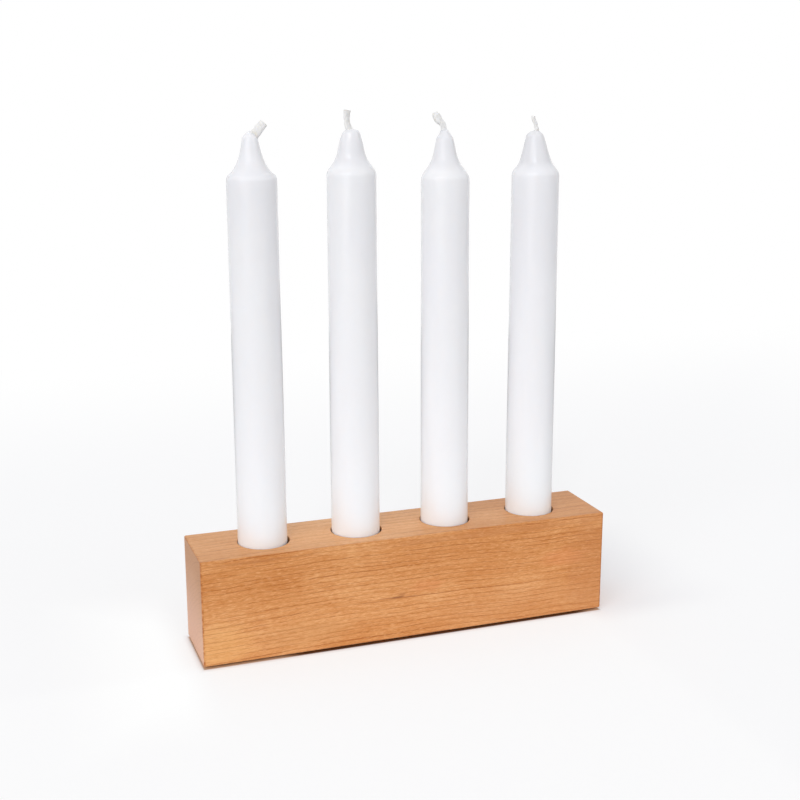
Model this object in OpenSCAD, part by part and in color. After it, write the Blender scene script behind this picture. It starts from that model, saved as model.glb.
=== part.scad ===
// Advent candle holder: an oak block with four sockets bored in a row, four plain
// candles with their wicks, and four felt pads under the block. Millimetres.
// +X runs along the block, +Y to the back and +Z up. The origin is on the table,
// under the middle of the block.

/* [Block] */
// Length of the oak block
block_l = 200; // [180:1:320]
// Depth of the oak block from front to back
block_w = 38; // [34:0.5:80]
// Height of the oak block without its pads
block_h = 50; // [34:0.5:90]
// Width of the flat that breaks each edge of the block
edge_break = 0.6; // [0.3:0.1:2]

/* [Sockets] */
// Distance from one socket's axis to the next
socket_pitch = 45; // [28:0.5:55]
// Depth of each socket below the block's top
socket_depth = 25; // [15:0.5:32]
// Gap all round between a candle's foot and its socket
socket_gap = 0.5; // [0.4:0.1:1.5]
// Width of the small bevel round each socket's mouth
rim_break = 0.4; // [0.2:0.1:0.8]

/* [Candles] */
// Diameter of the wax at the foot
foot_d = 23; // [18:0.1:26]
// How much thinner the wax is across at the shoulder than at the foot
taper = 0.9; // [0.1:0.1:2]
// Height of the wax from its foot to its shoulder
body_h = 190; // [80:1:280]
// Height of the hollow flank from the shoulder up to the tip's dome
flank_h = 16; // [8:0.5:30]
// Diameter of the tip where the flank ends
tip_d = 7.8; // [7:0.1:10]
// Height of the dome on the tallest tip
dome_h = 4; // [2:0.1:6]
// Width of the bevel round the wax's foot
foot_break = 0.6; // [0.2:0.1:1.5]
// Width of the eased edge at the shoulder
shoulder_break = 0.4; // [0.2:0.1:1]

/* [Wicks] */
// Width of the flat braid
wick_w = 3.6; // [2:0.1:4.5]
// Thickness of the flat braid
wick_t = 2.2; // [1:0.1:3]
// Length of the longest wick above its wax
wick_show = 9.5; // [6:0.5:20]
// Radius in which a wick bends over
wick_bend_r = 5; // [3:0.5:8]

/* [Pads] */
// Diameter of each felt pad
pad_d = 12; // [8:0.5:14]
// Thickness of each felt pad
pad_t = 1.2; // [0.8:0.1:3]
// Distance from the block's faces in to a pad's edge
pad_inset = 4; // [2:0.5:4.5]

/* [Hidden] */
$fn = 96;

// Candles are counted from the left as the front shows them
candle_count = 4;
// Each candle's own share of the wax height to the shoulder
body_shares = [1.005, 1.0125, 1, 1];
// Each candle's own share of the tip's diameter
tip_shares = [0.92, 1.05, 1, 1.05];
// Each tip's own share of the dome height, the second one being pinched off flatter
dome_shares = [0.95, 0.5, 0.95, 0.65];
// Where the flank's curve is drawn in: each candle's share of the way from the
// tip's radius out to the shoulder's, and the share of the flank's height
knee_shares = [0.17, 0.32, 0.22, 0.36];
knee_h_share = 0.28;
// Each wick's share of the longest wick's length, and the dome heights below the
// top of the wax at which it starts to bend
wick_shares = [0.6, 0.9, 0.97, 0.75];
bend_shares = [1.5, 0.2, 0.2, 0.2];
// How far each wick leans from upright, and the way it leans as a turn from +X
wick_leans = [34, 8, 30, 11];
wick_ways = [-20, 165, 155, 165];
// The turn of each braid's broad side from +X
wick_turns = [-20, 25, 20, 65];

flank_steps = 12;
dome_steps = 6;
wick_sides = 12;
bend_steps = 6;
// Overrun of every cut past the face it opens
cut_over = 1;

foot_r = foot_d / 2;
shoulder_r = (foot_d - taper) / 2;
socket_r = foot_r + socket_gap;
block_top = pad_t + block_h;
socket_floor = block_top - socket_depth;
pad_x = block_l / 2 - pad_inset - pad_d / 2;
pad_y = block_w / 2 - pad_inset - pad_d / 2;

function socket_x(i) = (i - (candle_count - 1) / 2) * socket_pitch;
function shoulder_h(i) = body_h * body_shares[i];
function tip_r(i) = tip_d / 2 * tip_shares[i];
function tip_dome_h(i) = dome_h * dome_shares[i];
function wax_h(i) = shoulder_h(i) + flank_h + tip_dome_h(i);
function bend_h(i) = wax_h(i) - dome_h * bend_shares[i];
function wick_rest(i) =
    wick_show * wick_shares[i] + dome_h * bend_shares[i] - wick_bend_r * wick_leans[i] * PI / 180;

// Rectangle on its centre with its four corners cut off at 45 degrees
module bevelled_rectangle(l, w, cut) {
    x = l / 2;
    y = w / 2;
    polygon([
        [x, y - cut], [x - cut, y], [cut - x, y], [-x, y - cut],
        [-x, cut - y], [cut - x, -y], [x - cut, -y], [x, cut - y]
    ]);
}

// Box on its centre with a flat along each of its twelve edges
module bevelled_box(l, w, h, cut) {
    intersection() {
        linear_extrude(h, center = true) bevelled_rectangle(l, w, cut);
        rotate([90, 0, 0]) linear_extrude(w, center = true) bevelled_rectangle(l, h, cut);
        rotate([90, 0, 90]) linear_extrude(l, center = true) bevelled_rectangle(w, h, cut);
    }
}

// Bore of a socket with the bevel round its mouth, from its floor up
module socket_cut() {
    cylinder(r = socket_r, h = socket_depth + cut_over);
    translate([0, 0, socket_depth - rim_break])
        cylinder(r1 = socket_r, r2 = socket_r + rim_break + cut_over, h = rim_break + cut_over);
}

module oak_block() {
    color("#D6945C") difference() {
        translate([0, 0, pad_t + block_h / 2]) bevelled_box(block_l, block_w, block_h, edge_break);
        for (i = [0 : candle_count - 1])
            translate([socket_x(i), 0, socket_floor]) socket_cut();
    }
}

// Pad glued under the block, on the side that the two signs give
module felt_pad(side_x, side_y) {
    color("#4A3A2E") translate([side_x * pad_x, side_y * pad_y, 0]) cylinder(d = pad_d, h = pad_t);
}

// Point at share t along the curve from a to c that b draws in
function curve_point(t, a, b, c) = (1 - t) * (1 - t) * a + 2 * t * (1 - t) * b + t * t * c;

// Half outline of candle i's wax as [radius, height], from the foot's middle to the tip
function wax_outline(i) =
    let (
        neck_r = shoulder_r - shoulder_break,
        shoulder = [neck_r, shoulder_h(i)],
        knee = [
            tip_r(i) + (neck_r - tip_r(i)) * knee_shares[i],
            shoulder_h(i) + flank_h * knee_h_share
        ],
        flank_end = [tip_r(i), shoulder_h(i) + flank_h]
    )
    concat(
        [[0, 0], [foot_r - foot_break, 0], [foot_r, foot_break]],
        [[shoulder_r, shoulder_h(i) - shoulder_break]],
        [for (k = [0 : flank_steps]) curve_point(k / flank_steps, shoulder, knee, flank_end)],
        [for (k = [1 : dome_steps - 1]) let (a = 90 * k / dome_steps)
            flank_end + [tip_r(i) * (cos(a) - 1), tip_dome_h(i) * sin(a)]],
        [[0, wax_h(i)]]
    );

// Oval section of wick i, turned with its braid
function wick_outline(i) = [
    for (k = [0 : wick_sides - 1])
        let (
            a = 360 * k / wick_sides,
            x = wick_w / 2 * cos(a),
            y = wick_t / 2 * sin(a),
            turn = wick_turns[i]
        )
        [x * cos(turn) - y * sin(turn), x * sin(turn) + y * cos(turn)]
];

// Ring of wick i's section, leant by an angle, with its centre out to the side and up
function wick_ring(i, lean, out, up) =
    let (c = cos(wick_ways[i]), s = sin(wick_ways[i]))
    [
        for (p = wick_outline(i))
            let (
                along = p[0] * c + p[1] * s,
                across = p[1] * c - p[0] * s,
                reach = out + along * cos(lean)
            )
            [reach * c - across * s, reach * s + across * c, up - along * sin(lean)]
    ];

// Wick i's rings: up the candle's axis from a start height, round the bend near the
// top of the wax, and on to the cut end
function wick_rings(i, start) =
    let (
        lean = wick_leans[i],
        bend_out = wick_bend_r * (1 - cos(lean)),
        bend_up = wick_bend_r * sin(lean),
        rest = wick_rest(i)
    )
    concat(
        [wick_ring(i, 0, 0, start)],
        [for (k = [0 : bend_steps]) let (a = lean * k / bend_steps)
            wick_ring(i, a, wick_bend_r * (1 - cos(a)), bend_h(i) + wick_bend_r * sin(a))],
        [wick_ring(i, lean, bend_out + rest * sin(lean), bend_h(i) + bend_up + rest * cos(lean))]
    );

// Body of wick i, from a start height to its cut end
module wick_body(i, start) {
    rings = wick_rings(i, start);
    last = (len(rings) - 1) * wick_sides;
    polyhedron(
        points = [for (ring = rings) for (p = ring) p],
        faces = concat(
            [for (k = [1 : wick_sides - 2]) [0, k, k + 1]],
            [for (r = [0 : len(rings) - 2]) for (k = [0 : wick_sides - 1])
                let (a = r * wick_sides, n = (k + 1) % wick_sides)
                each [[a + k, a + wick_sides + k, a + wick_sides + n],
                      [a + k, a + wick_sides + n, a + n]]],
            [for (k = [1 : wick_sides - 2]) [last, last + k + 1, last + k]]
        )
    );
}

module candle_wick(i) {
    color("#E6E2D6") translate([socket_x(i), 0, socket_floor]) wick_body(i, 0);
}

// Wax of candle i, cast round its wick and standing on the socket's floor
module candle_wax(i) {
    color("#F1F0F3") translate([socket_x(i), 0, socket_floor]) difference() {
        rotate_extrude() polygon(wax_outline(i));
        wick_body(i, -cut_over);
    }
}

oak_block();
felt_pad(-1, -1);  // felt_pad_front_left
felt_pad(1, -1);  // felt_pad_front_right
felt_pad(-1, 1);  // felt_pad_back_left
felt_pad(1, 1);  // felt_pad_back_right
candle_wax(0);  // candle_1_wax
candle_wax(1);  // candle_2_wax
candle_wax(2);  // candle_3_wax
candle_wax(3);  // candle_4_wax
candle_wick(0);  // candle_1_wick
candle_wick(1);  // candle_2_wick
candle_wick(2);  // candle_3_wick
candle_wick(3);  // candle_4_wick
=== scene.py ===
# Advent candle holder: the oak block on its felt pads, the four candles and their
# braided wicks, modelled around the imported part. Metres, in the part's own frame.
import bisect
import math
import random

import bpy
from mathutils import Matrix, Vector


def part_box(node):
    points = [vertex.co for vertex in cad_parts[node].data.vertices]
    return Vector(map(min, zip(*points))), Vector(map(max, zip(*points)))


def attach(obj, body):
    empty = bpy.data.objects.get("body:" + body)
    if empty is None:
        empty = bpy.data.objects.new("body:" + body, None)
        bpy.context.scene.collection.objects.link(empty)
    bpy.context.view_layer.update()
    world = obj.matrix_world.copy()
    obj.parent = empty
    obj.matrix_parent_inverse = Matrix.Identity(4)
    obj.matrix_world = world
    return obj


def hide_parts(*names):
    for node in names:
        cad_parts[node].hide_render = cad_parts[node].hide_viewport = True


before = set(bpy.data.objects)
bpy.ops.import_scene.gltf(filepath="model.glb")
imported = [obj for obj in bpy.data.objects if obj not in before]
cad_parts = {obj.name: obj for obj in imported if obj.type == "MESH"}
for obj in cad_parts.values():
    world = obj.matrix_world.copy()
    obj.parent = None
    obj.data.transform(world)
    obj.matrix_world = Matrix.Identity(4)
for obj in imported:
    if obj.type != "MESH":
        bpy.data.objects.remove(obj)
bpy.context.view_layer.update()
mm = 0.001
up = Vector((0, 0, 1))
mergeGap = 0.001 * mm
bodyNames = ["candle_1", "candle_2", "candle_3", "candle_4"]
print("frame loaded")


# Small helpers for modelling

def deselectAll():
    if bpy.context.object and bpy.context.object.mode != "OBJECT":
        bpy.ops.object.mode_set(mode="OBJECT")
    bpy.ops.object.select_all(action="DESELECT")


def pick(piece):
    deselectAll()
    piece.select_set(True)
    bpy.context.view_layer.objects.active = piece


def placeInMesh(piece, name):
    # The object goes back to the origin and its place into its mesh
    pick(piece)
    bpy.ops.object.transform_apply(location=True, rotation=True, scale=True)
    piece.name = name
    piece.data.name = name


def applyModifier(piece, kind, **settings):
    pick(piece)
    modifier = piece.modifiers.new(kind.lower(), kind)
    for key, value in settings.items():
        setattr(modifier, key, value)
    bpy.ops.object.modifier_apply(modifier=modifier.name)


def cleanSkin(piece):
    # Doubles merged, then every face turned outwards
    pick(piece)
    bpy.ops.object.mode_set(mode="EDIT")
    bpy.ops.mesh.select_all(action="SELECT")
    bpy.ops.mesh.remove_doubles(threshold=mergeGap)
    bpy.ops.mesh.normals_make_consistent(inside=False)
    bpy.ops.object.mode_set(mode="OBJECT")


def smoothBy(piece, degrees):
    # Smooth shading, but for edges sharper than the given angle
    pick(piece)
    bpy.ops.object.shade_smooth_by_angle(angle=math.radians(degrees))


def quarterTurns(steps):
    return [math.radians(90) * step / steps for step in range(steps + 1)]


def extrudeRing(centre, rise, ratio):
    # The selected end ring goes up and is drawn in or out about the axis
    bpy.ops.mesh.extrude_region_move(TRANSFORM_OT_translate={"value": (0, 0, rise)})
    bpy.ops.transform.resize(value=(ratio, ratio, 1), center_override=centre)


def turnOutline(centre, outline, sides):
    # A round solid from its half outline, a list of (radius, height), bottom first
    radius, height = outline[0]
    deselectAll()
    bpy.ops.mesh.primitive_circle_add(vertices=sides, radius=radius, fill_type="NGON",
                                      location=(centre[0], centre[1], height))
    piece = bpy.context.object
    bpy.ops.object.mode_set(mode="EDIT")
    bpy.ops.mesh.select_all(action="SELECT")
    for nextRadius, nextHeight in outline[1:]:
        extrudeRing((centre[0], centre[1], nextHeight), nextHeight - height, nextRadius / radius)
        radius, height = nextRadius, nextHeight
    bpy.ops.object.mode_set(mode="OBJECT")
    return piece


# Small helpers for materials. A value given to them is a number or another node's output.

def newMaterial(name):
    material = bpy.data.materials.new(name)
    material.use_nodes = True
    tree = material.node_tree
    return material, tree, tree.nodes["Principled BSDF"]


def feed(tree, socket, value):
    if isinstance(value, bpy.types.NodeSocket):
        tree.links.new(value, socket)
    else:
        socket.default_value = value


def mathOf(tree, operation, *values):
    node = tree.nodes.new("ShaderNodeMath")
    node.operation = operation
    for socket, value in zip(node.inputs, values):
        feed(tree, socket, value)
    return node.outputs[0]


def plus(tree, total, *values):
    for value in values:
        total = mathOf(tree, "ADD", total, value)
    return total


def minus(tree, value, less):
    return mathOf(tree, "SUBTRACT", value, less)


def times(tree, product, *values):
    for value in values:
        product = mathOf(tree, "MULTIPLY", product, value)
    return product


def over(tree, value, divisor):
    return mathOf(tree, "DIVIDE", value, divisor)


def placed(tree, vector, scale, location=(0, 0, 0)):
    node = tree.nodes.new("ShaderNodeMapping")
    feed(tree, node.inputs["Vector"], vector)
    node.inputs["Location"].default_value = location
    node.inputs["Scale"].default_value = scale
    return node.outputs[0]


def noiseOf(tree, vector, detail=2.0, roughness=0.5, scale=1):
    node = tree.nodes.new("ShaderNodeTexNoise")
    feed(tree, node.inputs["Vector"], vector)
    node.inputs["Scale"].default_value = scale
    node.inputs["Detail"].default_value = detail
    node.inputs["Roughness"].default_value = roughness
    return node.outputs["Fac"]


def stretchedOf(tree, vector, scale, detail=2.0, roughness=0.5):
    # Noise with a scale of its own on each axis
    return noiseOf(tree, placed(tree, vector, scale), detail, roughness)


def splitOf(tree, vector):
    node = tree.nodes.new("ShaderNodeSeparateXYZ")
    tree.links.new(vector, node.inputs[0])
    return node.outputs


def joinOf(tree, *values):
    node = tree.nodes.new("ShaderNodeCombineXYZ")
    for socket, value in zip(node.inputs, values):
        feed(tree, socket, value)
    return node.outputs[0]


def cellsOf(tree, vector):
    # Distance to the nearest of many scattered points, one to a unit of space
    node = tree.nodes.new("ShaderNodeTexVoronoi")
    feed(tree, node.inputs["Vector"], vector)
    node.inputs["Scale"].default_value = 1
    return node.outputs["Distance"]


def between(tree, value, low, high, toLow=0.0, toHigh=1.0):
    # A soft step from one number to another while the value goes from low to high
    node = tree.nodes.new("ShaderNodeMapRange")
    node.interpolation_type = "SMOOTHSTEP"
    for name, number in zip(("Value", "From Min", "From Max", "To Min", "To Max"),
                            (value, low, high, toLow, toHigh)):
        feed(tree, node.inputs[name], number)
    return node.outputs[0]


def rampOf(tree, value, stops):
    node = tree.nodes.new("ShaderNodeValToRGB")
    elements = node.color_ramp.elements
    while len(elements) < len(stops):
        elements.new(0.5)
    for element, (place, colour) in zip(elements, stops):
        element.position = place
        element.color = (*colour, 1)
    feed(tree, node.inputs[0], value)
    return node.outputs[0]


def mixOf(tree, share, colourA, colourB, blend="MIX"):
    node = tree.nodes.new("ShaderNodeMix")
    node.data_type = "RGBA"
    node.blend_type = blend
    for socket, value in zip((node.inputs[0], node.inputs[6], node.inputs[7]),
                             (share, colourA, colourB)):
        feed(tree, socket, (*value, 1) if isinstance(value, tuple) else value)
    return node.outputs[2]


def bumpOf(tree, height, distance, strength):
    node = tree.nodes.new("ShaderNodeBump")
    node.inputs["Strength"].default_value = strength
    node.inputs["Distance"].default_value = distance
    feed(tree, node.inputs["Height"], height)
    return node.outputs[0]


# Oak, oiled: rings about a pith in front of the block and below it, fine streaks, and
# short pores that lie along the block. A pair such as "fleckFrom" is the range of a noise
# over which the thing comes in, and two more numbers after it are its least and its most.

oak = {
    "dark": (0.505, 0.160, 0.018),
    "mid": (0.648, 0.271, 0.077),
    "light": (0.81, 0.428, 0.178),
    "line": (0.37, 0.095, 0.006),
    "pore": (0.39, 0.100, 0.008),
    # The grain's rise along the block, from one place to another and from one height to
    # another, and two waves in it, each with its height and its noise's scale
    "rises": [(-110 * mm, -35 * mm, -2.2 * mm, 0.0), (15 * mm, 58 * mm, 0.0, -1.6 * mm)],
    "waves": [(1.5 * mm, (20, 40, 45)), (1.1 * mm, (62, 80, 90))],
    # Rings, and how their width changes outwards
    "pithAt": (-60 * mm, -70 * mm),      # across and up
    "ringStep": 2.0 * mm,
    "unevenStep": 5 * mm,
    "unevenBy": 2.0,
    "unevenShift": 3.7,
    "earlyWidth": 0.5,                   # early wood's share of a ring
    "earlyShade": 0.10,
    # Streaks along the grain: length, width, detail, roughness and a shift into fresh noise
    "drift": (200 * mm, 14 * mm, 2, 0.5, 5.2),
    "coarse": (26 * mm, 1.7 * mm, 3, 0.6, 3.1),
    "fine": (2.4 * mm, 0.37 * mm, 3, 0.7, 7.7),
    "breaks": (13 * mm, 1.4 * mm, 2, 0.5, 17.3),
    "flecks": (2.6 * mm, 0.36 * mm, 1, 0.5, 30.1),
    "ragged": (7 * mm, 2.2 * mm, 3, 0.6, 40.3),
    # The tone is a sum of broad patches, coarse streaks and fine streaks, and it runs from
    # dark through mid to light
    "patchScale": (15, 30, 34),
    "patchShift": (2.2, 0, 0),
    "toneShares": (0.34, 0.25, 0.41),
    "toneStops": (0.35, 0.5, 0.65),
    # The dark line at a ring's start
    "lineWidth": 0.25,
    "lineShift": 0.73,                   # from one ring's noise to the next one's
    "lineRun": 60 * mm,
    "lineBreaks": (0.35, 0.53, 0.22, 1.0),
    "lineChosen": (0.33, 0.56, 0.20, 0.92),
    # Pores and flecks
    "poreSpan": (6 * mm, 0.62 * mm, 0.62 * mm),
    "poreSize": 0.20,
    "poreEarly": 0.18,                   # how much larger they are in early wood
    "poreCore": 0.55,
    "poreShade": 0.47,
    "fleckFrom": (0.58, 0.72),
    "fleckShade": 0.48,
    # Marks on the front, some of them painted shade: place along and up, half size along and up, colour,
    # strength
    "marksAndPaintedShade": [
        ((-7.5, 21.9), (3.8, 0.55), (0.26, 0.080, 0.022), 0.85),
        ((-5.5, 22.9), (2.4, 0.9), (0.42, 0.150, 0.045), 0.55),
        ((-13.5, 22.0), (4.0, 0.40), (0.36, 0.115, 0.034), 0.55),
        ((-0.5, 21.5), (4.5, 0.40), (0.38, 0.125, 0.038), 0.50),
        ((78, 31), (15, 5.0), (0.72, 0.240, 0.075), 0.36),
        ((7.5, 26), (9, 3.5), (0.72, 0.240, 0.075), 0.30),
        # Painted shade: the front darker towards its bottom right, and in a band along its top arris
        ((62, 8), (62, 14), (0.54, 0.205, 0.058), 0.28),
        ((40, 48.2), (72, 1.9), (0.50, 0.185, 0.055), 0.34),
        ((-72, 48.6), (30, 0.8), (0.42, 0.145, 0.045), 0.34),
        ((-92, 9), (17, 13), (0.88, 0.490, 0.170), 0.34),
        ((-52, 10), (26, 7), (0.56, 0.240, 0.066), 0.36),
        # Painted shade: the front darker at its right end
        ((96, 22), (16, 40), (0.52, 0.200, 0.066), 0.26),
    ],
    "markDepth": (-17.5 * mm, -14 * mm, 1.0, 0.0),
    "markRagged": 1.8,
    "markMiddle": 0.9,                   # the ragged noise's middle, which is taken off again
    "markFade": 1.3,
    # End grain by height, with painted shade at its top and painted light at its foot, and the top's
    # gain, a painted sheen and light: a rise and then a fall along the block, and less of it near the
    # front
    "facing": (0.6, 0.95),               # how much of its normal a face turns that way
    "endTop": (0.425, 0.188, 0.060),
    "endFoot": (0.755, 0.465, 0.335),
    "endHeights": (48 * mm, 6 * mm),
    "endShare": 0.68,
    "topCalm": 0.35,
    "topPaintedSheen": (1.33, 1.62, 2.30),
    "topRise": (-88 * mm, -58 * mm, 0.42, 1.0),
    "topFall": (-32 * mm, 78 * mm, 0.0, 1.0),
    "topFront": (-15 * mm, -3 * mm, 0.5, 1.0),
    # Arrises darkened, partly rubbed and partly painted shade: how near, the two axes across each
    # kind and its share, and the nicks' scale, detail and roughness
    "edgeNear": (0.35 * mm, 1.15 * mm, 1.0, 0.0),
    "edgeShares": [(0, 1, 1.0), (1, 2, 0.35), (0, 2, 0.6)],
    "nicks": ((420, 420, 480), 2, 0.6),
    "nickFrom": (0.38, 0.66, 0.15, 0.85),
    "polishFrom": (0.3, 0.7, 0.49, 0.38),            # from fine streaks to the roughness
    "reliefFine": 0.4,
    "relief": (0.05 * mm, 0.5),
}


def grainOf(tree, place, along, depth, height):
    # The grain's own space and height: its rise along the block and its waves taken out
    lift = plus(tree, *[times(tree, stretchedOf(tree, place, scale), wave)
                        for wave, scale in oak["waves"]])
    for rise in oak["rises"]:
        lift = plus(tree, lift, between(tree, along, *rise))
    grainHeight = minus(tree, height, lift)
    return joinOf(tree, along, depth, grainHeight), grainHeight


def streaksOf(tree, grain, length, width, detail, roughness, shift):
    scale = (1 / length, 1 / width, 1 / width)
    return noiseOf(tree, placed(tree, grain, scale, (shift, shift, shift)), detail, roughness)


def ringsOf(tree, grain, depth, grainHeight):
    # How many rings, unevenly wide, lie between the pith and a place
    fromPith = [minus(tree, value, middle)
                for value, middle in zip((depth, grainHeight), oak["pithAt"])]
    radius = mathOf(tree, "SQRT", plus(tree, *[times(tree, value, value) for value in fromPith]))
    uneven = noiseOf(tree, joinOf(tree, over(tree, radius, oak["unevenStep"]), oak["unevenShift"], 0))
    drift = streaksOf(tree, grain, *oak["drift"])
    return plus(tree, over(tree, radius, oak["ringStep"]),
                plus(tree, times(tree, uneven, oak["unevenBy"]), drift))


def toneOf(tree, grain, fine):
    # Base colour from broad patches, long streaks and fine streaks
    layers = (noiseOf(tree, placed(tree, grain, oak["patchScale"], oak["patchShift"])),
              streaksOf(tree, grain, *oak["coarse"]), fine)
    tone = plus(tree, *[times(tree, layer, share) for layer, share in zip(layers, oak["toneShares"])])
    return rampOf(tree, tone, list(zip(oak["toneStops"], (oak["dark"], oak["mid"], oak["light"]))))


def ringLinesOf(tree, grain, along, count, ring):
    # A long thin dark line at each ring's start, stronger on some rings, that breaks off
    # and starts again
    number = times(tree, mathOf(tree, "FLOOR", count), oak["lineShift"])
    chosen = noiseOf(tree, joinOf(tree, number, over(tree, along, oak["lineRun"]), 0), detail=1)
    breaks = between(tree, streaksOf(tree, grain, *oak["breaks"]), *oak["lineBreaks"])
    return times(tree, between(tree, ring, 0.0, oak["lineWidth"], 1.0, 0.0), breaks,
                 between(tree, chosen, *oak["lineChosen"]))


def poresOf(tree, grain, early):
    # Open pores as short dashes, thick in the early wood
    size = plus(tree, times(tree, early, oak["poreEarly"]), oak["poreSize"])
    cells = cellsOf(tree, placed(tree, grain, tuple(1 / span for span in oak["poreSpan"])))
    return between(tree, cells, times(tree, size, oak["poreCore"]), size, 1.0, 0.0)


def markFrontAndPaintShade(tree, colour, grain, along, depth, height):
    onFront = between(tree, depth, *oak["markDepth"])
    ragged = times(tree, streaksOf(tree, grain, *oak["ragged"]), oak["markRagged"])
    ragged = minus(tree, ragged, oak["markMiddle"])
    # Some marks are the wood's own, others painted shade
    for (markAlong, markUp), (halfAlong, halfUp), tint, strength in oak["marksAndPaintedShade"]:
        x = over(tree, minus(tree, along, markAlong * mm), halfAlong * mm)
        z = over(tree, minus(tree, height, markUp * mm), halfUp * mm)
        gap = plus(tree, times(tree, x, x), times(tree, z, z), ragged)
        share = times(tree, between(tree, gap, 0.0, oak["markFade"], strength, 0.0), onFront)
        colour = mixOf(tree, share, colour, tint)
    return colour


def toneFacesAndPaintLight(tree, colour, normal, along, depth, height):
    # End grain is plainer and pinker, with painted shade at its top and painted light towards
    # its foot. The top is calmer, and a painted sheen and light make it paler, most of all left of its
    # middle.
    facing = splitOf(tree, normal)
    endward = between(tree, mathOf(tree, "ABSOLUTE", facing[0]), *oak["facing"])
    endTint = mixOf(tree, between(tree, height, *oak["endHeights"]), oak["endTop"], oak["endFoot"])
    colour = mixOf(tree, times(tree, endward, oak["endShare"]), colour, endTint)
    upward = between(tree, facing[2], *oak["facing"])
    colour = mixOf(tree, times(tree, upward, oak["topCalm"]), colour, oak["mid"])
    # Painted sheen and light: the top is made paler, more left of its middle and less near the front
    pale = minus(tree, between(tree, along, *oak["topRise"]), between(tree, along, *oak["topFall"]))
    pale = times(tree, pale, between(tree, depth, *oak["topFront"]))
    return mixOf(tree, times(tree, upward, pale), colour, oak["topPaintedSheen"], "MULTIPLY")


def darkenArrisesRubbedAndShaded(tree, colour, place, axes):
    # Every arris is darker, partly rubbed and partly painted shade, with a few nicks
    low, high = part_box("oak_block")
    middle, half = (low + high) / 2, (high - low) / 2
    near = []
    for value, centre, reach in zip(axes, middle, half):
        out = mathOf(tree, "ABSOLUTE", minus(tree, value, centre))
        near.append(between(tree, minus(tree, reach, out), *oak["edgeNear"]))
    pairs = [times(tree, near[a], near[b], share) for a, b, share in oak["edgeShares"]]
    arris = mathOf(tree, "MAXIMUM", mathOf(tree, "MAXIMUM", pairs[0], pairs[1]), pairs[2])
    nicks = stretchedOf(tree, place, *oak["nicks"])
    return mixOf(tree, times(tree, arris, between(tree, nicks, *oak["nickFrom"])), colour, oak["line"])


def oakMaterial():
    material, tree, shader = newMaterial("oak_oiled")
    coordinates = tree.nodes.new("ShaderNodeTexCoord")
    place = coordinates.outputs["Object"]
    along, depth, height = splitOf(tree, place)
    grain, grainHeight = grainOf(tree, place, along, depth, height)
    count = ringsOf(tree, grain, depth, grainHeight)
    ring = mathOf(tree, "FRACT", count)
    early = between(tree, ring, 0.0, oak["earlyWidth"], 1.0, 0.0)
    fine = streaksOf(tree, grain, *oak["fine"])
    pores = poresOf(tree, grain, early)
    flecks = between(tree, streaksOf(tree, grain, *oak["flecks"]), *oak["fleckFrom"])

    colour = toneOf(tree, grain, fine)
    colour = mixOf(tree, times(tree, early, oak["earlyShade"]), colour, oak["dark"])
    colour = mixOf(tree, ringLinesOf(tree, grain, along, count, ring), colour, oak["line"])
    colour = mixOf(tree, times(tree, pores, oak["poreShade"]), colour, oak["pore"])
    colour = mixOf(tree, times(tree, flecks, oak["fleckShade"]), colour, oak["light"])
    colour = markFrontAndPaintShade(tree, colour, grain, along, depth, height)
    colour = toneFacesAndPaintLight(tree, colour, coordinates.outputs["Normal"], along, depth, height)
    colour = darkenArrisesRubbedAndShaded(tree, colour, place, (along, depth, height))

    tree.links.new(colour, shader.inputs["Base Color"])
    tree.links.new(between(tree, fine, *oak["polishFrom"]), shader.inputs["Roughness"])
    relief = minus(tree, times(tree, fine, oak["reliefFine"]), pores)
    tree.links.new(bumpOf(tree, relief, *oak["relief"]), shader.inputs["Normal"])
    return material


# Block: a planed box with broken edges and four bored sockets with eased mouths

block = {
    "edgeRound": 0.7 * mm,
    "edgeSteps": 4,
    "socketGap": 0.5 * mm,
    "socketAside": 0.9 * mm,    # the row was bored a little to the right of the block's middle
    "socketSides": 128,
    "rimRound": 0.5 * mm,
    "rimSteps": 4,
    "cutOver": 2 * mm,
    "smoothAngle": 40,
}


def socketCutter(waxNode, top):
    low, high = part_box(waxNode)
    centre = ((low.x + high.x) / 2 + block["socketAside"], (low.y + high.y) / 2)
    radius = (high.x - low.x) / 2 + block["socketGap"]
    rim = block["rimRound"]
    outline = [(radius, low.z)]
    outline += [(radius + rim * (1 - math.cos(turn)), top - rim + rim * math.sin(turn))
                for turn in quarterTurns(block["rimSteps"])]
    outline.append((radius + rim, top + block["cutOver"]))
    cutter = turnOutline(centre, outline, block["socketSides"])
    cleanSkin(cutter)
    return cutter


def makeBlock(material):
    low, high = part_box("oak_block")
    deselectAll()
    bpy.ops.mesh.primitive_cube_add(size=1, location=(low + high) / 2, scale=high - low)
    piece = bpy.context.object
    placeInMesh(piece, "block_oak")
    bpy.ops.object.mode_set(mode="EDIT")
    bpy.ops.mesh.select_all(action="SELECT")
    bpy.ops.mesh.bevel(offset=block["edgeRound"], segments=block["edgeSteps"], affect="EDGES")
    bpy.ops.object.mode_set(mode="OBJECT")
    for bodyName in bodyNames:
        cutter = socketCutter(bodyName + "_wax", high.z)
        applyModifier(piece, "BOOLEAN", operation="DIFFERENCE", solver="EXACT", object=cutter)
        bpy.data.objects.remove(cutter)
    cleanSkin(piece)
    smoothBy(piece, block["smoothAngle"])
    applyModifier(piece, "WEIGHTED_NORMAL", keep_sharp=True, weight=100)
    piece.data.materials.append(material)
    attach(piece, "holder")
    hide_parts("oak_block")
    print("block made,", len(piece.data.polygons), "faces")


# Pads: pressed felt discs with a soft, slightly uneven rim

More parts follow.
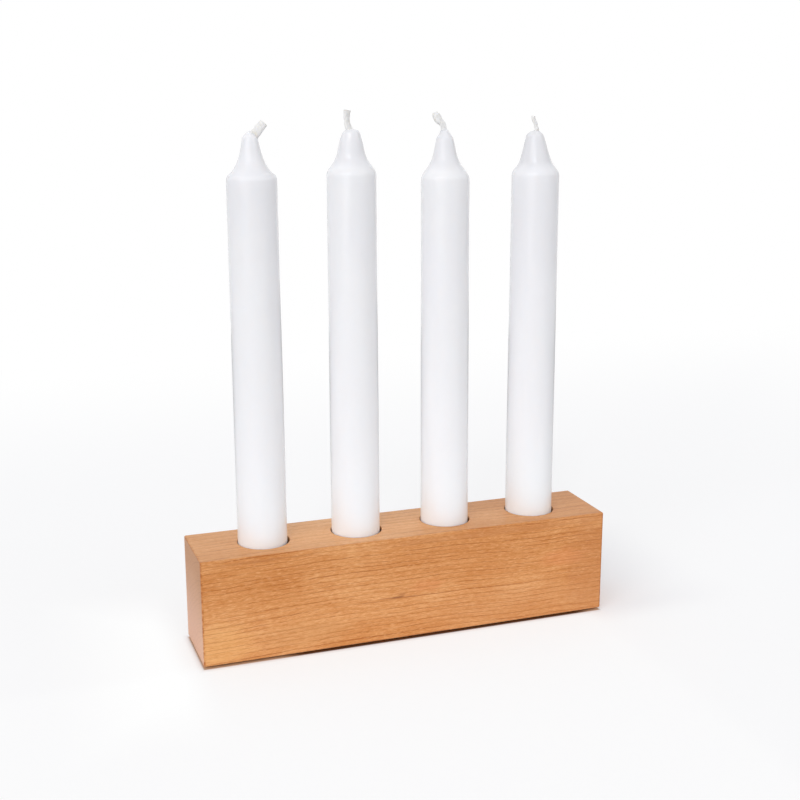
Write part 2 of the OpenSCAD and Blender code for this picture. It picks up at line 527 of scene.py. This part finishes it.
pad = {
    "sides": 72,
    "faceShare": 0.5,           # share of the radius that each flat face's inner ring has
    "rimSoft": 0.3 * mm,
    "rimSteps": 3,
    "uneven": 0.12 * mm,
    "unevenFrom": 0.7,          # share of the radius past which the rim is uneven
    "unevenCounts": (3, 5, 9, 17),
    "smoothAngle": 50,
    "colour": (0.060, 0.040, 0.028),
    "fuzz": (0.13, 0.095, 0.07),
    # Two noises, each with its detail, roughness and scale, and where they come in
    "matted": (5, 0.7, 900),
    "clumps": (3, 0.6, 260),
    "fuzzFrom": (0.4, 0.65),
    "clumpsFrom": (0.45, 0.7, 0, 0.5),
    "relief": (0.25 * mm, 0.8),
    "roughness": 0.95,
    "sheen": 0.4,
    "sheenRoughness": 0.6,
}


def feltMaterial():
    material, tree, shader = newMaterial("felt_brown")
    place = tree.nodes.new("ShaderNodeTexCoord").outputs["Object"]
    matted, clumps = noiseOf(tree, place, *pad["matted"]), noiseOf(tree, place, *pad["clumps"])
    colour = mixOf(tree, between(tree, matted, *pad["fuzzFrom"]), pad["colour"], pad["fuzz"])
    colour = mixOf(tree, between(tree, clumps, *pad["clumpsFrom"]), colour, pad["colour"])
    tree.links.new(colour, shader.inputs["Base Color"])
    tree.links.new(bumpOf(tree, matted, *pad["relief"]), shader.inputs["Normal"])
    shader.inputs["Roughness"].default_value = pad["roughness"]
    shader.inputs["Sheen Weight"].default_value = pad["sheen"]
    shader.inputs["Sheen Roughness"].default_value = pad["sheenRoughness"]
    return material


def makePad(node, material, seed):
    low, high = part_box(node)
    centre = ((low.x + high.x) / 2, (low.y + high.y) / 2)
    radius = (high.x - low.x) / 2
    soft, turns = pad["rimSoft"], quarterTurns(pad["rimSteps"])
    outline = [(radius * pad["faceShare"], low.z)]
    outline += [(radius - soft + soft * math.sin(turn), low.z + soft - soft * math.cos(turn))
                for turn in turns]
    outline += [(radius - soft + soft * math.cos(turn), high.z - soft + soft * math.sin(turn))
                for turn in turns]
    outline.append((radius * pad["faceShare"], high.z))
    piece = turnOutline(centre, outline, pad["sides"])
    placeInMesh(piece, node.replace("felt_pad", "pad_felt"))
    cleanSkin(piece)
    draw = random.Random(seed)
    waves = [(count, draw.uniform(0, math.tau)) for count in pad["unevenCounts"]]
    for vertex in piece.data.vertices:
        out = Vector((vertex.co.x - centre[0], vertex.co.y - centre[1], 0))
        if out.length < radius * pad["unevenFrom"]:
            continue
        angle = math.atan2(out.y, out.x)
        swing = sum(math.sin(count * angle + start) for count, start in waves) / len(waves)
        vertex.co -= out.normalized() * pad["uneven"] * (1 + swing) / 2
    smoothBy(piece, pad["smoothAngle"])
    piece.data.materials.append(material)
    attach(piece, "holder")
    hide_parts(node)


# Candles: cast wax with a hollow flank up to a small dome, each a little different.
# A tip's sizes are in millimetres. Its flank is a curve from a start radius at the
# shoulder's height, through two handles as (radius, up), to its end. Its dome is (radius,
# up) above the flank's end, and it leans to the right of the view by the time it ends.
# "aside" is how far to the right of its node the candle stands, at its foot and its head.
# The last two numbers are painted shade: one dims the whole candle, most of all at the row's right end,
# and the other dims its tip further.

candle = {
    "sides": 96,
    "footBreak": 0.6 * mm,
    "taper": 0.45 * mm,         # how much thinner the shoulder is than the foot, in radius
    "bodyRings": 24,
    "cornerRound": 1.9 * mm,    # length of body and of flank that the shoulder's round takes
    "cornerSteps": 6,
    "flankUp": 16 * mm,
    "flankSteps": 30,
    "domeSteps": 12,
    "slantOver": 3 * mm,        # height in which the dome's slant comes in
    "leanWay": Vector((0.941, -0.339, 0)),           # to the right, as the photo's camera sees it
    "collarOut": 0.6 * mm,      # how far the wax creeps out round the wick, and up
    "collarUp": 0.56 * mm,
    "collarFrom": 6 * mm,       # no lower below the top than this
    "wave": 0.05 * mm,          # how far the cast surface is from round
    "waveCounts": (2, 3, 4),
    "wavePace": (20, 60),
    "waveFull": 5 * mm,         # radius from which the surface has all of it
    "smoothAngle": 35,
    "tips": [
        {"start": 11.69, "handles": [(9.62, 0.84), (5.73, 2.07)], "end": 3.42, "domeUp": 3.8,
         "dome": [(3.0, 0.95), (2.25, 1.75), (1.25, 2.55), (0.1, 3.3)],
         "slant": 0.0, "lean": -0.25, "aside": (0.60, 0.10), "tone": 0.99, "tipPaintedShade": 1.0},
        {"start": 10.89, "handles": [(4.70, 6.65), (6.65, 9.26)], "end": 4.06, "domeUp": 2.0,
         "dome": [(3.8, 0.55), (3.05, 1.35), (2.0, 1.8), (0.1, 2.0)],
         "slant": 0.09, "lean": -0.05, "aside": (0.72, 0.25), "tone": 1.0, "tipPaintedShade": 0.94},
        {"start": 10.50, "handles": [(4.53, 7.06), (5.70, 8.54)], "end": 3.76, "domeUp": 3.8,
         "dome": [(3.3, 0.8), (2.6, 1.7), (2.0, 2.6), (1.5, 3.4), (0.1, 3.8)],
         "slant": 0.0, "lean": -0.35, "aside": (0.80, -0.05), "tone": 1.0, "tipPaintedShade": 0.92},
        {"start": 11.02, "handles": [(6.92, 4.22), (7.45, 4.22)], "end": 4.17, "domeUp": 2.6,
         "dome": [(3.9, 0.7), (3.3, 1.4), (2.4, 2.0), (1.4, 2.4), (0.1, 2.6)],
         "slant": 0.0, "lean": -0.65, "aside": (0.66, 0.20), "tone": 0.975, "tipPaintedShade": 0.92},
    ],
    # Two whites in soft clouds, and lower down painted light, a paler white and then a bluer one
    # near the foot against the wood's warm bounce: from one height to another, how much of it, and the
    # white
    "white": (0.906, 0.904, 0.918),
    "cloudWhite": (0.936, 0.934, 0.946),
    "clouds": ((60, 60, 25), 3),         # scale and detail
    "cloudFrom": (0.35, 0.65),
    "lowPaintedWhites": [(168 * mm, 118 * mm, 0.9, (0.942, 0.940, 0.955)),
                  (100 * mm, 58 * mm, 0.95, (0.926, 0.976, 1.0))],
    "tipOver": 6 * mm,          # height above the shoulder in which the tip's tone comes in
    "dragScale": (260, 260, 12),
    "dragFrom": (0.3, 0.7, 0.17, 0.23),  # from the drag's noise to the roughness
    "reliefClouds": 1.6,
    "reliefDrag": 0.30,
    "relief": (0.12 * mm, 0.25),
    "bending": 1.44,            # index of refraction
    "scatter": 0.7,
    "scatterTint": (1.0, 0.95, 0.92),
    "scatterReach": 2.2 * mm,
}


def waxMaterial(tip, shoulder):
    # Painted shade makes the tip a little darker than the body, and painted light makes the body paler and
    # cooler towards its foot
    material, tree, shader = newMaterial("wax_white")
    place = tree.nodes.new("ShaderNodeTexCoord").outputs["Object"]
    clouds = stretchedOf(tree, place, *candle["clouds"])
    colour = mixOf(tree, between(tree, clouds, *candle["cloudFrom"]),
                   candle["white"], candle["cloudWhite"])
    height = splitOf(tree, place)[2]
    # Painted light: paler lower down, and cooler near the foot
    for start, stop, share, white in candle["lowPaintedWhites"]:
        colour = mixOf(tree, between(tree, height, start, stop, 0, share), colour, white)
    # Painted shade: the whole candle dimmed, and its tip more
    tone = between(tree, height, shoulder, shoulder + candle["tipOver"],
                   tip["tone"], tip["tone"] * tip["tipPaintedShade"])
    colour = mixOf(tree, 1.0, colour, joinOf(tree, tone, tone, tone), "MULTIPLY")
    tree.links.new(colour, shader.inputs["Base Color"])
    drag = stretchedOf(tree, place, candle["dragScale"])
    tree.links.new(between(tree, drag, *candle["dragFrom"]), shader.inputs["Roughness"])
    relief = plus(tree, times(tree, clouds, candle["reliefClouds"]),
                  times(tree, drag, candle["reliefDrag"]))
    tree.links.new(bumpOf(tree, relief, *candle["relief"]), shader.inputs["Normal"])
    shader.inputs["IOR"].default_value = candle["bending"]
    shader.inputs["Subsurface Weight"].default_value = candle["scatter"]
    shader.inputs["Subsurface Radius"].default_value = candle["scatterTint"]
    shader.inputs["Subsurface Scale"].default_value = candle["scatterReach"]
    return material


def bezier(share, *points):
    # Point on the curve that two ends and the handles between them draw
    while len(points) > 1:
        points = [tuple(a + (b - a) * share for a, b in zip(p, q)) for p, q in zip(points, points[1:])]
    return points[0]


def smoothThrough(points, share):
    # A smooth curve through all points, at a share of its length in spans
    spans = len(points) - 1
    place = min(share * spans, spans - 1e-6)
    index = int(place)
    t = place - index
    a = points[max(index - 1, 0)]
    b, c = points[index], points[index + 1]
    d = points[min(index + 2, spans)]
    return 0.5 * (2 * b + (c - a) * t + (2 * a - 5 * b + 4 * c - d) * t ** 2
                  + (3 * b - a - 3 * c + d) * t ** 3)


def shoulderOf(high, tip):
    return high.z - tip["domeUp"] * mm - candle["flankUp"]


def asideAt(height, low, high, tip):
    # A candle stands a hair to the side in its socket and leans a hair, and its tip a
    # little more
    foot, head = tip["aside"]
    shoulder = shoulderOf(high, tip)
    risen = max(0, (height - shoulder) / (high.z - shoulder))
    aside = foot + (head - foot) * (height - low.z) / (high.z - low.z)
    return Vector((aside, 0, 0)) * mm + candle["leanWay"] * tip["lean"] * risen * mm


def flankOf(shoulder, tip):
    handles = [(radius * mm, shoulder + rise * mm) for radius, rise in tip["handles"]]
    start = (tip["start"] * mm, shoulder)
    end = (tip["end"] * mm, shoulder + candle["flankUp"])
    return [bezier(step / candle["flankSteps"], start, *handles, end)
            for step in range(candle["flankSteps"] + 1)]


def waxOutline(low, high, tip):
    footRadius = (high.x - low.x) / 2
    shoulderRadius = footRadius - candle["taper"]
    flank = flankOf(shoulderOf(high, tip), tip)
    # The corner lies where the flank's first stretch meets the body's line
    inwards, upwards = flank[1][0] - flank[0][0], flank[1][1] - flank[0][1]
    corner = (shoulderRadius, flank[0][1] + upwards * (shoulderRadius - flank[0][0]) / inwards)
    ease = candle["cornerRound"]
    flank = [point for point in flank if point[0] < shoulderRadius and math.dist(point, corner) > ease]
    outline = [(footRadius - candle["footBreak"], low.z), (footRadius, low.z + candle["footBreak"])]
    bodyStart, bodyEnd = outline[-1][1], corner[1] - ease
    for step in range(1, candle["bodyRings"] + 1):
        share = step / candle["bodyRings"]
        outline.append((footRadius - candle["taper"] * share, bodyStart + (bodyEnd - bodyStart) * share))
    outline += [bezier(step / candle["cornerSteps"], (shoulderRadius, bodyEnd), corner, flank[0])
                for step in range(1, candle["cornerSteps"])]
    outline += flank
    dome = [Vector(flank[-1])]
    dome += [Vector((radius * mm, flank[-1][1] + rise * mm)) for radius, rise in tip["dome"]]
    outline += [tuple(smoothThrough(dome, step / candle["domeSteps"]))
                for step in range(1, candle["domeSteps"] + 1)]
    return outline


def raiseCollar(piece, wickPlaces, top):
    # The wax creeps up a little round the wick where it leaves the tip
    reach = wick["width"] / 2 + candle["collarOut"]
    for vertex in piece.data.vertices:
        if vertex.co.z < top - candle["collarFrom"]:
            continue
        gap = min((vertex.co - place).length for place in wickPlaces)
        if gap < reach:
            vertex.co += vertex.normal * candle["collarUp"] * (1 - gap / reach)


def makeWax(bodyName, tip, wickPlaces, seed):
    low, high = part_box(bodyName + "_wax")
    axis = ((low.x + high.x) / 2, (low.y + high.y) / 2)
    piece = turnOutline(axis, waxOutline(low, high, tip), candle["sides"])
    placeInMesh(piece, bodyName.replace("candle", "wax_body"))
    cleanSkin(piece)
    draw = random.Random(seed)
    waves = [(count, draw.uniform(0, math.tau), draw.uniform(*candle["wavePace"]))
             for count in candle["waveCounts"]]
    slantFrom = high.z - tip["domeUp"] * mm - candle["slantOver"]
    for vertex in piece.data.vertices:
        out = Vector((vertex.co.x - axis[0], vertex.co.y - axis[1], 0))
        angle = math.atan2(out.y, out.x)
        swing = sum(math.sin(count * angle + start + vertex.co.z * pace) for count, start, pace in waves)
        inner = min(1, out.length / candle["waveFull"])
        vertex.co -= out.normalized() * candle["wave"] * inner * (1 + swing / len(waves)) / 2
        risen = min(1, max(0, (vertex.co.z - slantFrom) / candle["slantOver"]))
        vertex.co.z += out.x * tip["slant"] * risen
        vertex.co += asideAt(vertex.co.z, low, high, tip)
    raiseCollar(piece, wickPlaces, high.z)
    smoothBy(piece, candle["smoothAngle"])
    piece.data.materials.append(waxMaterial(tip, shoulderOf(high, tip)))
    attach(piece, bodyName)
    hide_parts(bodyName + "_wax")


# Wicks: a flat braid in a thin coat of wax, up the candle's axis and bent over above
# it. A route gives (out, up, width share), in millimetres from where the axis meets the
# wax's top. "way" is where it goes and "turn" how its broad side lies, in degrees from +X.

wick = {
    "sides": 32,
    "width": 3.4 * mm,
    "thickness": 2.1 * mm,
    "square": 0.75,             # below 1 the section's corners fill out
    "ringStep": 0.2 * mm,
    "hiddenStep": 8 * mm,
    "endRings": [(0.88, 0.12 * mm), (0.45, 0.2 * mm)],   # share of the size, and how far beyond
    "plait": 2.3 * mm,          # from one crossing of the strands to the next
    "slant": 0.45,              # how far a groove is ahead at the edges, as a share of that
    "groove": 0.09 * mm,
    "edgeFlat": 0.35,           # how much shallower it is there
    "uneven": 0.06 * mm,
    "unevenPace": (0.8, 2.2),
    "stray": 0.025 * mm,        # how far points stray along the wick
    "smoothAngle": 55,
    "routes": [
        {"way": -20, "turn": -20, "grow": 1.24, "fibres": 0,
         "route": [(0, -9, 1), (0.15, -6.4, 1), (0.85, -4.2, 1), (1.85, -2.45, 0.98),
                   (3.7, -0.05, 0.98), (6.15, 2.75, 0.86)]},
        {"way": 160, "turn": 25, "grow": 0.93, "fibres": 3,
         "route": [(0, -6, 1), (0.35, -1, 1.02), (1.13, 1.1, 1.02), (1.55, 2.4, 0.95),
                   (1.6, 3.7, 0.86), (1.7, 5.0, 0.96), (1.65, 6.6, 1.0), (1.45, 8.1, 1.16)]},
        {"way": 160, "turn": 8, "grow": 1.0, "fibres": 1,
         "route": [(0, -6, 1), (0.2, -1.5, 0.85), (0.45, 0.3, 0.8), (0.7, 1.8, 0.8), (1.5, 3.0, 0.9),
                   (2.6, 4.0, 1.1), (3.4, 5.3, 1.14), (4.1, 6.6, 1.0), (4.45, 7.5, 0.7)]},
        {"way": 160, "turn": 45, "grow": 0.76, "fibres": 2,
         "route": [(0, -6, 1), (-0.6, -0.8, 1), (-0.95, 0.6, 1.05), (-0.5, 1.8, 0.98),
                   (-0.1, 3.2, 0.95), (0.45, 4.5, 0.95), (0.9, 5.9, 0.95), (0.95, 6.5, 0.95)]},
    ],
    # A cut fibre: sides, radius at both ends, length in millimetres, splay, and how far from
    # the middle it starts and how far out it stands
    "fibreSides": 6,
    "fibreRadii": (0.07 * mm, 0.03 * mm),
    "fibreLength": (0.4, 0.6),
    "fibreSplay": 0.35,
    "fibreStart": 0.45,
    "fibreOut": 0.35,
    "cotton": (0.89, 0.88, 0.855),
    "shade": (0.76, 0.74, 0.70),
    "soaked": (3, 0.55, 420),   # detail, roughness and scale of the shade's noise
    "shadeFrom": (0.42, 0.72, 0, 0.30),
    "stain": (0.80, 0.70, 0.50),
    "stainAt": Vector((-65.6, -0.7, 235.2)) * mm,    # where the first wick is a little yellow
    "stainFrom": (0.6 * mm, 2.2 * mm, 0.45, 0.0),
    "threads": ((2600, 2600, 700), 3, 0.6),          # scale, detail and roughness
    "relief": (0.05 * mm, 0.35),
    "roughness": 0.5,
    "scatter": 0.35,
    "scatterTint": (1.0, 0.95, 0.85),
    "scatterReach": 0.6 * mm,
}


def cottonMaterial():
    material, tree, shader = newMaterial("cotton_waxed")
    place = tree.nodes.new("ShaderNodeTexCoord").outputs["Object"]
    threads = stretchedOf(tree, place, *wick["threads"])
    soaked = noiseOf(tree, place, *wick["soaked"])
    colour = mixOf(tree, between(tree, soaked, *wick["shadeFrom"]), wick["cotton"], wick["shade"])
    offset = [minus(tree, value, middle) for value, middle in zip(splitOf(tree, place), wick["stainAt"])]
    length = tree.nodes.new("ShaderNodeVectorMath")
    length.operation = "LENGTH"
    tree.links.new(joinOf(tree, *offset), length.inputs[0])
    stained = between(tree, length.outputs["Value"], *wick["stainFrom"])
    colour = mixOf(tree, stained, colour, wick["stain"])
    tree.links.new(colour, shader.inputs["Base Color"])
    tree.links.new(bumpOf(tree, threads, *wick["relief"]), shader.inputs["Normal"])
    shader.inputs["Roughness"].default_value = wick["roughness"]
    shader.inputs["Subsurface Weight"].default_value = wick["scatter"]
    shader.inputs["Subsurface Radius"].default_value = wick["scatterTint"]
    shader.inputs["Subsurface Scale"].default_value = wick["scatterReach"]
    return material


def wickPath(low, high, tip, looks):
    # Places along the wick with the section's share of its size, from the foot up:
    # far apart up the axis inside the wax, then close together round the bend
    way = math.radians(looks["way"])
    out = Vector((math.cos(way), math.sin(way), 0))
    middle = (low + high) / 2
    knots = []
    for reach, rise, share in looks["route"]:
        place = Vector((middle.x, middle.y, 0)) + out * (reach * mm) + up * (high.z + rise * mm)
        place += asideAt(min(place.z, high.z), low, high, tip)
        knots.append(Vector((*place, share * looks["grow"])))
    length = sum((b.xyz - a.xyz).length for a, b in zip(knots, knots[1:]))
    count = int(length / wick["ringStep"])
    bend = [smoothThrough(knots, step / count) for step in range(count + 1)]
    foot = Vector((middle.x, middle.y, low.z)) + asideAt(low.z, low, high, tip)
    start = Vector((*foot, knots[0].w))
    hidden = int((knots[0].z - low.z) / wick["hiddenStep"])
    return [start.lerp(knots[0], step / hidden) for step in range(hidden)] + bend


def reliefAt(across, front, gone, waves):
    # How far the braid's skin stands out: grooves slant in from both edges to the middle,
    # half a plait later on its other face
    turns = gone / wick["plait"] + abs(across) * wick["slant"] + (0.5 if front else 0)
    groove = (0.5 + 0.5 * math.cos(math.tau * turns)) ** 2
    swing = sum(math.sin(gone / mm * pace + across * 2 + start) for pace, start in waves) / len(waves)
    return wick["uneven"] * swing - wick["groove"] * groove * (1 - wick["edgeFlat"] * abs(across))


def squared(value):
    # Keeps the sign and fills the section's corners out
    return math.copysign(abs(value) ** wick["square"], value)


def cutFibres(count, end, tangent, draw):
    # A few short fibres that stand out of the cut end
    fibres = []
    for _ in range(count):
        spread = Vector((draw.uniform(-1, 1), draw.uniform(-1, 1), draw.uniform(-1, 1)))
        ahead = (tangent + spread * wick["fibreSplay"]).normalized()
        sideways = spread - tangent * spread.dot(tangent)
        start = end + sideways * wick["thickness"] * wick["fibreStart"]
        length = draw.uniform(*wick["fibreLength"]) * mm
        thick, thin = wick["fibreRadii"]
        deselectAll()
        bpy.ops.mesh.primitive_cone_add(vertices=wick["fibreSides"], radius1=thick, radius2=thin,
                                        depth=length,
                                        location=start + ahead * length * wick["fibreOut"],
                                        rotation=ahead.to_track_quat("Z", "Y").to_euler())
        fibres.append(bpy.context.object)
    return fibres


def shapeBraid(piece, path, gone, turn, draw):
    # Each ring of the straight stack is flattened, turned and set at its place on the way
    broad = Vector((math.cos(turn), math.sin(turn), 0))
    waves = [(draw.uniform(*wick["unevenPace"]), draw.uniform(0, math.tau)) for _ in range(3)]
    last = len(path) - 1
    for vertex in piece.data.vertices:
        index = min(bisect.bisect_left(gone, vertex.co.z - wick["ringStep"] / 4), last)
        place = path[index]
        beyond = vertex.co.z - gone[index]
        tangent = (path[min(index + 1, last)].xyz - path[max(index - 1, 0)].xyz).normalized()
        side = (broad - tangent * broad.dot(tangent)).normalized()
        face = tangent.cross(side)
        across, through = vertex.co.x / mm, vertex.co.y / mm
        size = math.hypot(across, through)
        across, through = across / size, through / size
        relief = reliefAt(across, through > 0, gone[index], waves)
        halfWidth, halfThickness = [extent / 2 * place.w * size + relief * size
                                    for extent in (wick["width"], wick["thickness"])]
        # The foot's own ring stays flat
        stray = draw.uniform(-1, 1) * wick["stray"] if beyond else 0
        vertex.co = (place.xyz + tangent * (beyond + stray)
                     + side * (squared(across) * halfWidth) + face * (squared(through) * halfThickness))


def makeWick(bodyName, looks, tip, material, seed):
    low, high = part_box(bodyName + "_wax")
    path = wickPath(low, high, tip, looks)
    gone = [0.0]
    for a, b in zip(path, path[1:]):
        gone.append(gone[-1] + (b.xyz - a.xyz).length)
    # A straight round stack of rings, one to each place and two more to round the cut end
    stack = [(mm, length) for length in gone]
    stack += [(share * mm, gone[-1] + past) for share, past in wick["endRings"]]
    piece = turnOutline((0, 0), stack, wick["sides"])
    placeInMesh(piece, bodyName.replace("candle", "wick_braid"))
    draw = random.Random(seed)
    shapeBraid(piece, path, gone, math.radians(looks["turn"]), draw)
    ahead = (path[-1].xyz - path[-2].xyz).normalized()
    fibres = cutFibres(looks["fibres"], path[-1].xyz, ahead, draw)
    if fibres:
        pick(piece)
        for fibre in fibres:
            fibre.select_set(True)
        bpy.ops.object.join()
    cleanSkin(piece)
    smoothBy(piece, wick["smoothAngle"])
    piece.data.materials.append(material)
    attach(piece, bodyName)
    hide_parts(bodyName + "_wick")
    return [place.xyz for place in path]


# Camera, at the photograph's viewing angle

camera = {
    "target": Vector((0.55, 0, 112.18)) * mm,
    "azimuth": -19.79,
    "elevation": 13.92,
    "roll": -0.06,
    "distance": 599 * mm,
    "lens": 57.6,
    "sensor": 36,
    "clipStart": 0.01,
}


def wayTo(azimuth, elevation):
    # Towards a viewer or a lamp, from angles in degrees: 0 is in front, and turns go right
    turn, rise = math.radians(azimuth), math.radians(elevation)
    return Vector((math.sin(turn) * math.cos(rise), -math.cos(turn) * math.cos(rise), math.sin(rise)))


def placeCamera():
    back = wayTo(camera["azimuth"], camera["elevation"])
    data = bpy.data.cameras.new("camera")
    data.lens = camera["lens"]
    data.sensor_width = camera["sensor"]
    data.clip_start = camera["clipStart"]
    viewer = bpy.data.objects.new("camera", data)
    bpy.context.scene.collection.objects.link(viewer)
    turn = back.to_track_quat("Z", "Y").to_matrix().to_4x4()
    roll = Matrix.Rotation(math.radians(camera["roll"]), 4, "Z")
    viewer.matrix_world = Matrix.Translation(camera["target"] + back * camera["distance"]) @ turn @ roll
    bpy.context.scene.camera = viewer


# Floor and light: a white table in a bright room, with wide soft light from the front
# left and a little from the front right, so the shadow falls softly to the right and behind

studio = {
    "floorSize": 1.5,
    "floorSeen": (1.0, 1.0, 1.0),                    # the floor's white as the camera sees it
    "seenUnder": (-0.6 * mm, 0.7 * mm),              # where the painted shadow under the block comes in
    "paintedShadowUnder": (0.17, 0.080, 0.036),
    "paintedShadowEnds": (0.62, 0.42, 0.27),                 # the painted shadow, paler towards both ends
    "paleUntil": (-66 * mm, -52 * mm),
    "paleFrom": (86 * mm, 97 * mm),
    "floorBounce": (0.10, 0.45, 0.97, 0.30),         # its white as it lights the object, near to far
    # The floor's own glow for the camera: none under the block, a share of it near by and
    # full far off. The share is higher in front, where the wood tints the floor, and at the
    # left, and lower at the right, where the shadow falls.
    "glowStart": (-0.5 * mm, 3 * mm),
    "glowNear": 0.60,
    "glowFar": (0.22, 0.62, 0.0, 0.40),
    "glowFront": (-26 * mm, -12 * mm, 0.10, 0.0),
    "glowLeft": (-116 * mm, -97 * mm, 0.38, 0.0),
    "glowRight": (88 * mm, 103 * mm),
    "glowBehind": (-38 * mm, -14 * mm),
    "leftReach": (8 * mm, 75 * mm, 1.0, 0.0),
    "rightReach": (12 * mm, 85 * mm, 0.54, 0.0),
    "roomLight": (0.775, 0.685),                     # at the horizon and overhead
    "roomColour": (0.965, 0.97, 1.0),
    "seenColour": (1.0, 1.0, 1.0),
    # Each lamp's turn from the front, its height and its spread in degrees, and its power.
    # The small one draws the glint on each candle's shoulder.
    "lamps": [(-45, 15, 50, 0.73), (-52, 28, 26, 0.22), (40, 20, 50, 0.25), (-29, 37, 7, 0.34)],
}


def floorColour(tree, seen, along, outside):
    # White for the camera, with a painted shadow where the gap under the block is seen, and a
    # plain grey that falls off with distance for the light that it throws back
    bounce = between(tree, outside, *studio["floorBounce"])
    dark = minus(tree, between(tree, along, *studio["paleUntil"]),
                 between(tree, along, *studio["paleFrom"]))
    # Painted shadow under the block, paler towards both ends
    under = mixOf(tree, dark, studio["paintedShadowEnds"], studio["paintedShadowUnder"])
    shown = mixOf(tree, between(tree, outside, *studio["seenUnder"]), under, studio["floorSeen"])
    return mixOf(tree, seen, joinOf(tree, bounce, bounce, bounce), shown)


def floorGlow(tree, along, depth, outside):
    right = between(tree, along, *studio["glowRight"])
    behind = between(tree, depth, *studio["glowBehind"])
    shade = times(tree, right, behind, between(tree, outside, *studio["rightReach"]))
    front = times(tree, between(tree, depth, *studio["glowFront"]), minus(tree, 1, right))
    left = times(tree, between(tree, along, *studio["glowLeft"]),
                 between(tree, outside, *studio["leftReach"]))
    glow = plus(tree, minus(tree, studio["glowNear"], shade), front, left,
                between(tree, outside, *studio["glowFar"]))
    return times(tree, mathOf(tree, "MINIMUM", glow, 1), between(tree, outside, *studio["glowStart"]))


def makeFloor():
    deselectAll()
    bpy.ops.mesh.primitive_plane_add(size=studio["floorSize"])
    floor = bpy.context.object
    floor.name = "floor"
    material, tree, shader = newMaterial("floor_white")
    tree.nodes.remove(shader)
    seen = tree.nodes.new("ShaderNodeLightPath").outputs["Is Camera Ray"]
    along, depth, _ = splitOf(tree, tree.nodes.new("ShaderNodeTexCoord").outputs["Object"])
    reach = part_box("oak_block")[1]
    outside = mathOf(tree, "MAXIMUM", minus(tree, mathOf(tree, "ABSOLUTE", along), reach.x),
                     minus(tree, mathOf(tree, "ABSOLUTE", depth), reach.y))
    matt = tree.nodes.new("ShaderNodeBsdfDiffuse")
    tree.links.new(floorColour(tree, seen, along, outside), matt.inputs["Color"])
    shining = tree.nodes.new("ShaderNodeEmission")
    blend = tree.nodes.new("ShaderNodeMixShader")
    tree.links.new(times(tree, floorGlow(tree, along, depth, outside), seen), blend.inputs[0])
    tree.links.new(matt.outputs[0], blend.inputs[1])
    tree.links.new(shining.outputs[0], blend.inputs[2])
    tree.links.new(blend.outputs[0], tree.nodes["Material Output"].inputs["Surface"])
    floor.data.materials.append(material)


def makeRoom():
    # White where it is seen, reflected or looked through to, and a softer sky as a light
    world = bpy.data.worlds.new("room")
    bpy.context.scene.world = world
    world.use_nodes = True
    tree = world.node_tree
    room = tree.nodes["Background"]
    rays = tree.nodes.new("ShaderNodeLightPath").outputs
    straight = mathOf(tree, "MAXIMUM", rays["Is Camera Ray"],
                      mathOf(tree, "MAXIMUM", rays["Is Glossy Ray"], rays["Is Transmission Ray"]))
    rise = splitOf(tree, tree.nodes.new("ShaderNodeTexCoord").outputs["Generated"])[2]
    horizon, overhead = studio["roomLight"]
    soft = times(tree, mathOf(tree, "GREATER_THAN", rise, 0),
                 mathOf(tree, "MULTIPLY_ADD", rise, overhead - horizon, horizon))
    tree.links.new(mathOf(tree, "MAXIMUM", straight, soft), room.inputs["Strength"])
    tree.links.new(mixOf(tree, straight, studio["roomColour"], studio["seenColour"]), room.inputs["Color"])


def placeLamps():
    for turn, rise, spread, power in studio["lamps"]:
        data = bpy.data.lights.new("lamp", "SUN")
        data.angle = math.radians(spread)
        data.energy = power
        data.color = studio["roomColour"]
        lamp = bpy.data.objects.new("lamp", data)
        bpy.context.scene.collection.objects.link(lamp)
        lamp.rotation_euler = wayTo(turn, rise).to_track_quat("Z", "Y").to_euler()


placeCamera()
makeFloor()
makeRoom()
placeLamps()
bpy.context.scene.view_settings.view_transform = "Standard"
print("camera, floor and light placed")

makeBlock(oakMaterial())

felt = feltMaterial()
for seed, side in enumerate(("front_left", "front_right", "back_left", "back_right")):
    makePad("felt_pad_" + side, felt, seed)
print("pads made")

cotton = cottonMaterial()
for seed, (bodyName, tip, looks) in enumerate(zip(bodyNames, candle["tips"], wick["routes"])):
    wickPlaces = makeWick(bodyName, looks, tip, cotton, seed + 10)
    makeWax(bodyName, tip, wickPlaces, seed + 20)
print("candles made")
